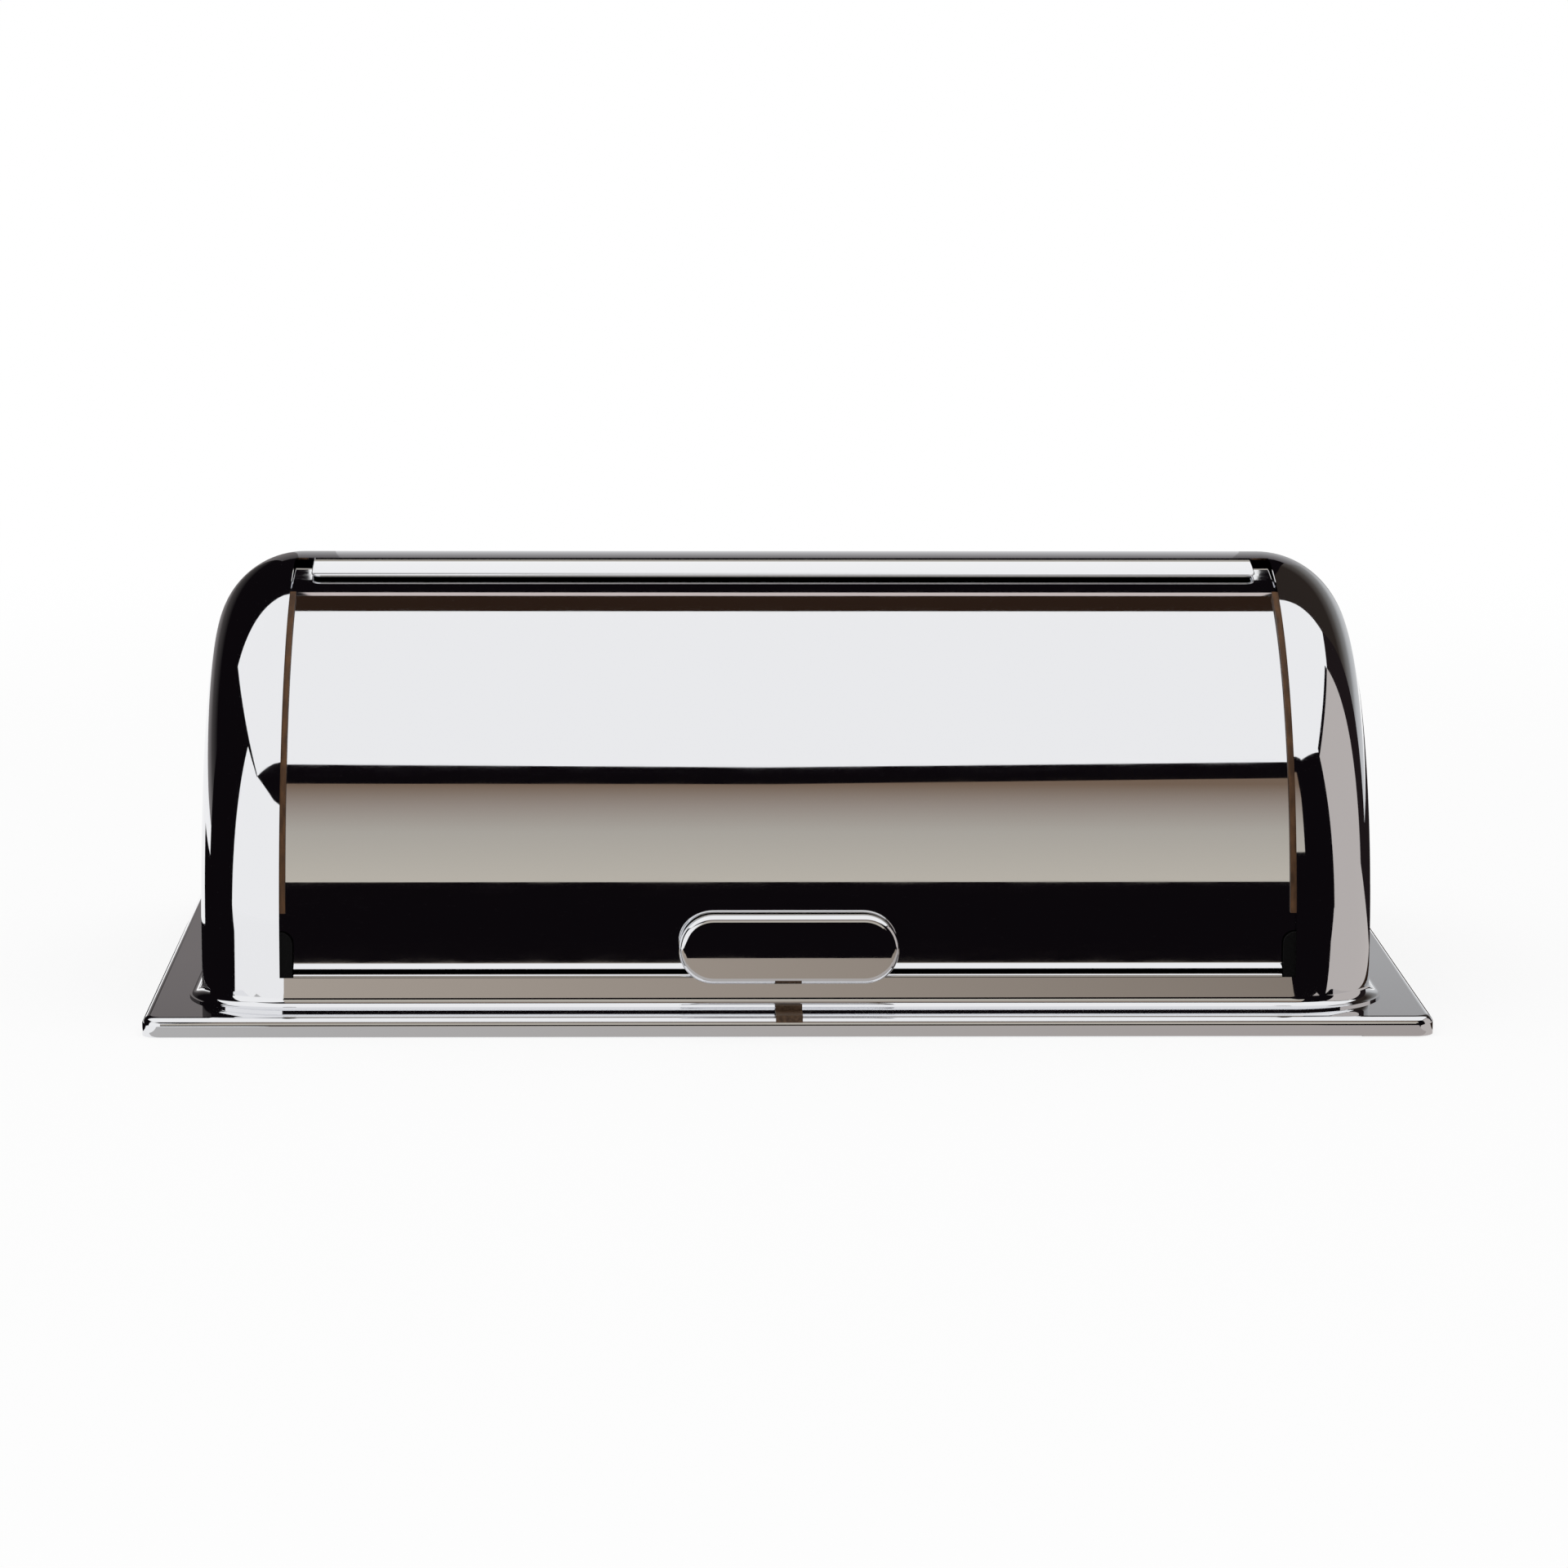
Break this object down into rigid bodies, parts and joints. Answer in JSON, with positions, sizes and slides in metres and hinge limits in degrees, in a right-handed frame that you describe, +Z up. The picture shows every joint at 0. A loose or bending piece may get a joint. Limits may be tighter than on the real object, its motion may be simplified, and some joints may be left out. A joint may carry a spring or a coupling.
{
  "type": "bread box with roll top",
  "caption": "Polished steel bread box: a tray with a rolled rim, a round-ended hood on it, and a curved door with a rounded handle that rolls back inside the hood.",
  "frame": {"origin": "on the table, under the middle of the tray", "axes": "+X along the length, to the right seen from the front; +Z up; the front faces -Y"},
  "size_m": [0.53, 0.325, 0.1804],
  "materials": {
    "polished_steel": "mirror polished stainless steel sheet",
    "plain_steel": "plain stainless steel, fine mill grain",
    "brown_strip": "brown slide strip with a dull sheen",
    "bronze_clip": "dark brown plastic clip",
    "white_bush": "natural white bearing plastic",
    "black_rubber": "matt black rubber"
  },
  "bodies": {
    "box": {"serving_tray": "polished_steel", "hood_shell": "polished_steel", "rear_cover_strip": "polished_steel", "front_hood_clip": "bronze_clip", "rear_hood_clip": "bronze_clip", "right_glide_strip": "brown_strip", "left_glide_strip": "brown_strip", "right_pivot_bolt": "polished_steel", "left_pivot_bolt": "polished_steel", "right_pivot_doubler": "plain_steel", "left_pivot_doubler": "plain_steel", "right_pivot_spacer": "plain_steel", "left_pivot_spacer": "plain_steel", "right_pivot_washer": "plain_steel", "left_pivot_washer": "plain_steel", "right_pivot_nut": "plain_steel", "left_pivot_nut": "plain_steel", "right_front_buffer": "black_rubber", "left_front_buffer": "black_rubber", "right_rear_buffer": "black_rubber", "left_rear_buffer": "black_rubber"},
    "door": {"door_panel": "polished_steel", "door_rear_stiffener": "plain_steel", "handle_plate": "polished_steel", "handle_post": "polished_steel", "handle_screws": "plain_steel", "right_door_cheek": "plain_steel", "left_door_cheek": "plain_steel", "right_pivot_bush": "white_bush", "left_pivot_bush": "white_bush"}
  },
  "joints": [
    {"name": "door_roll", "type": "hinge", "parent": "box", "child": "door", "pos_m": [0, 0, 0.0355], "axis": [-1, 0, 0], "range_deg": [0, 72]}
  ]
}
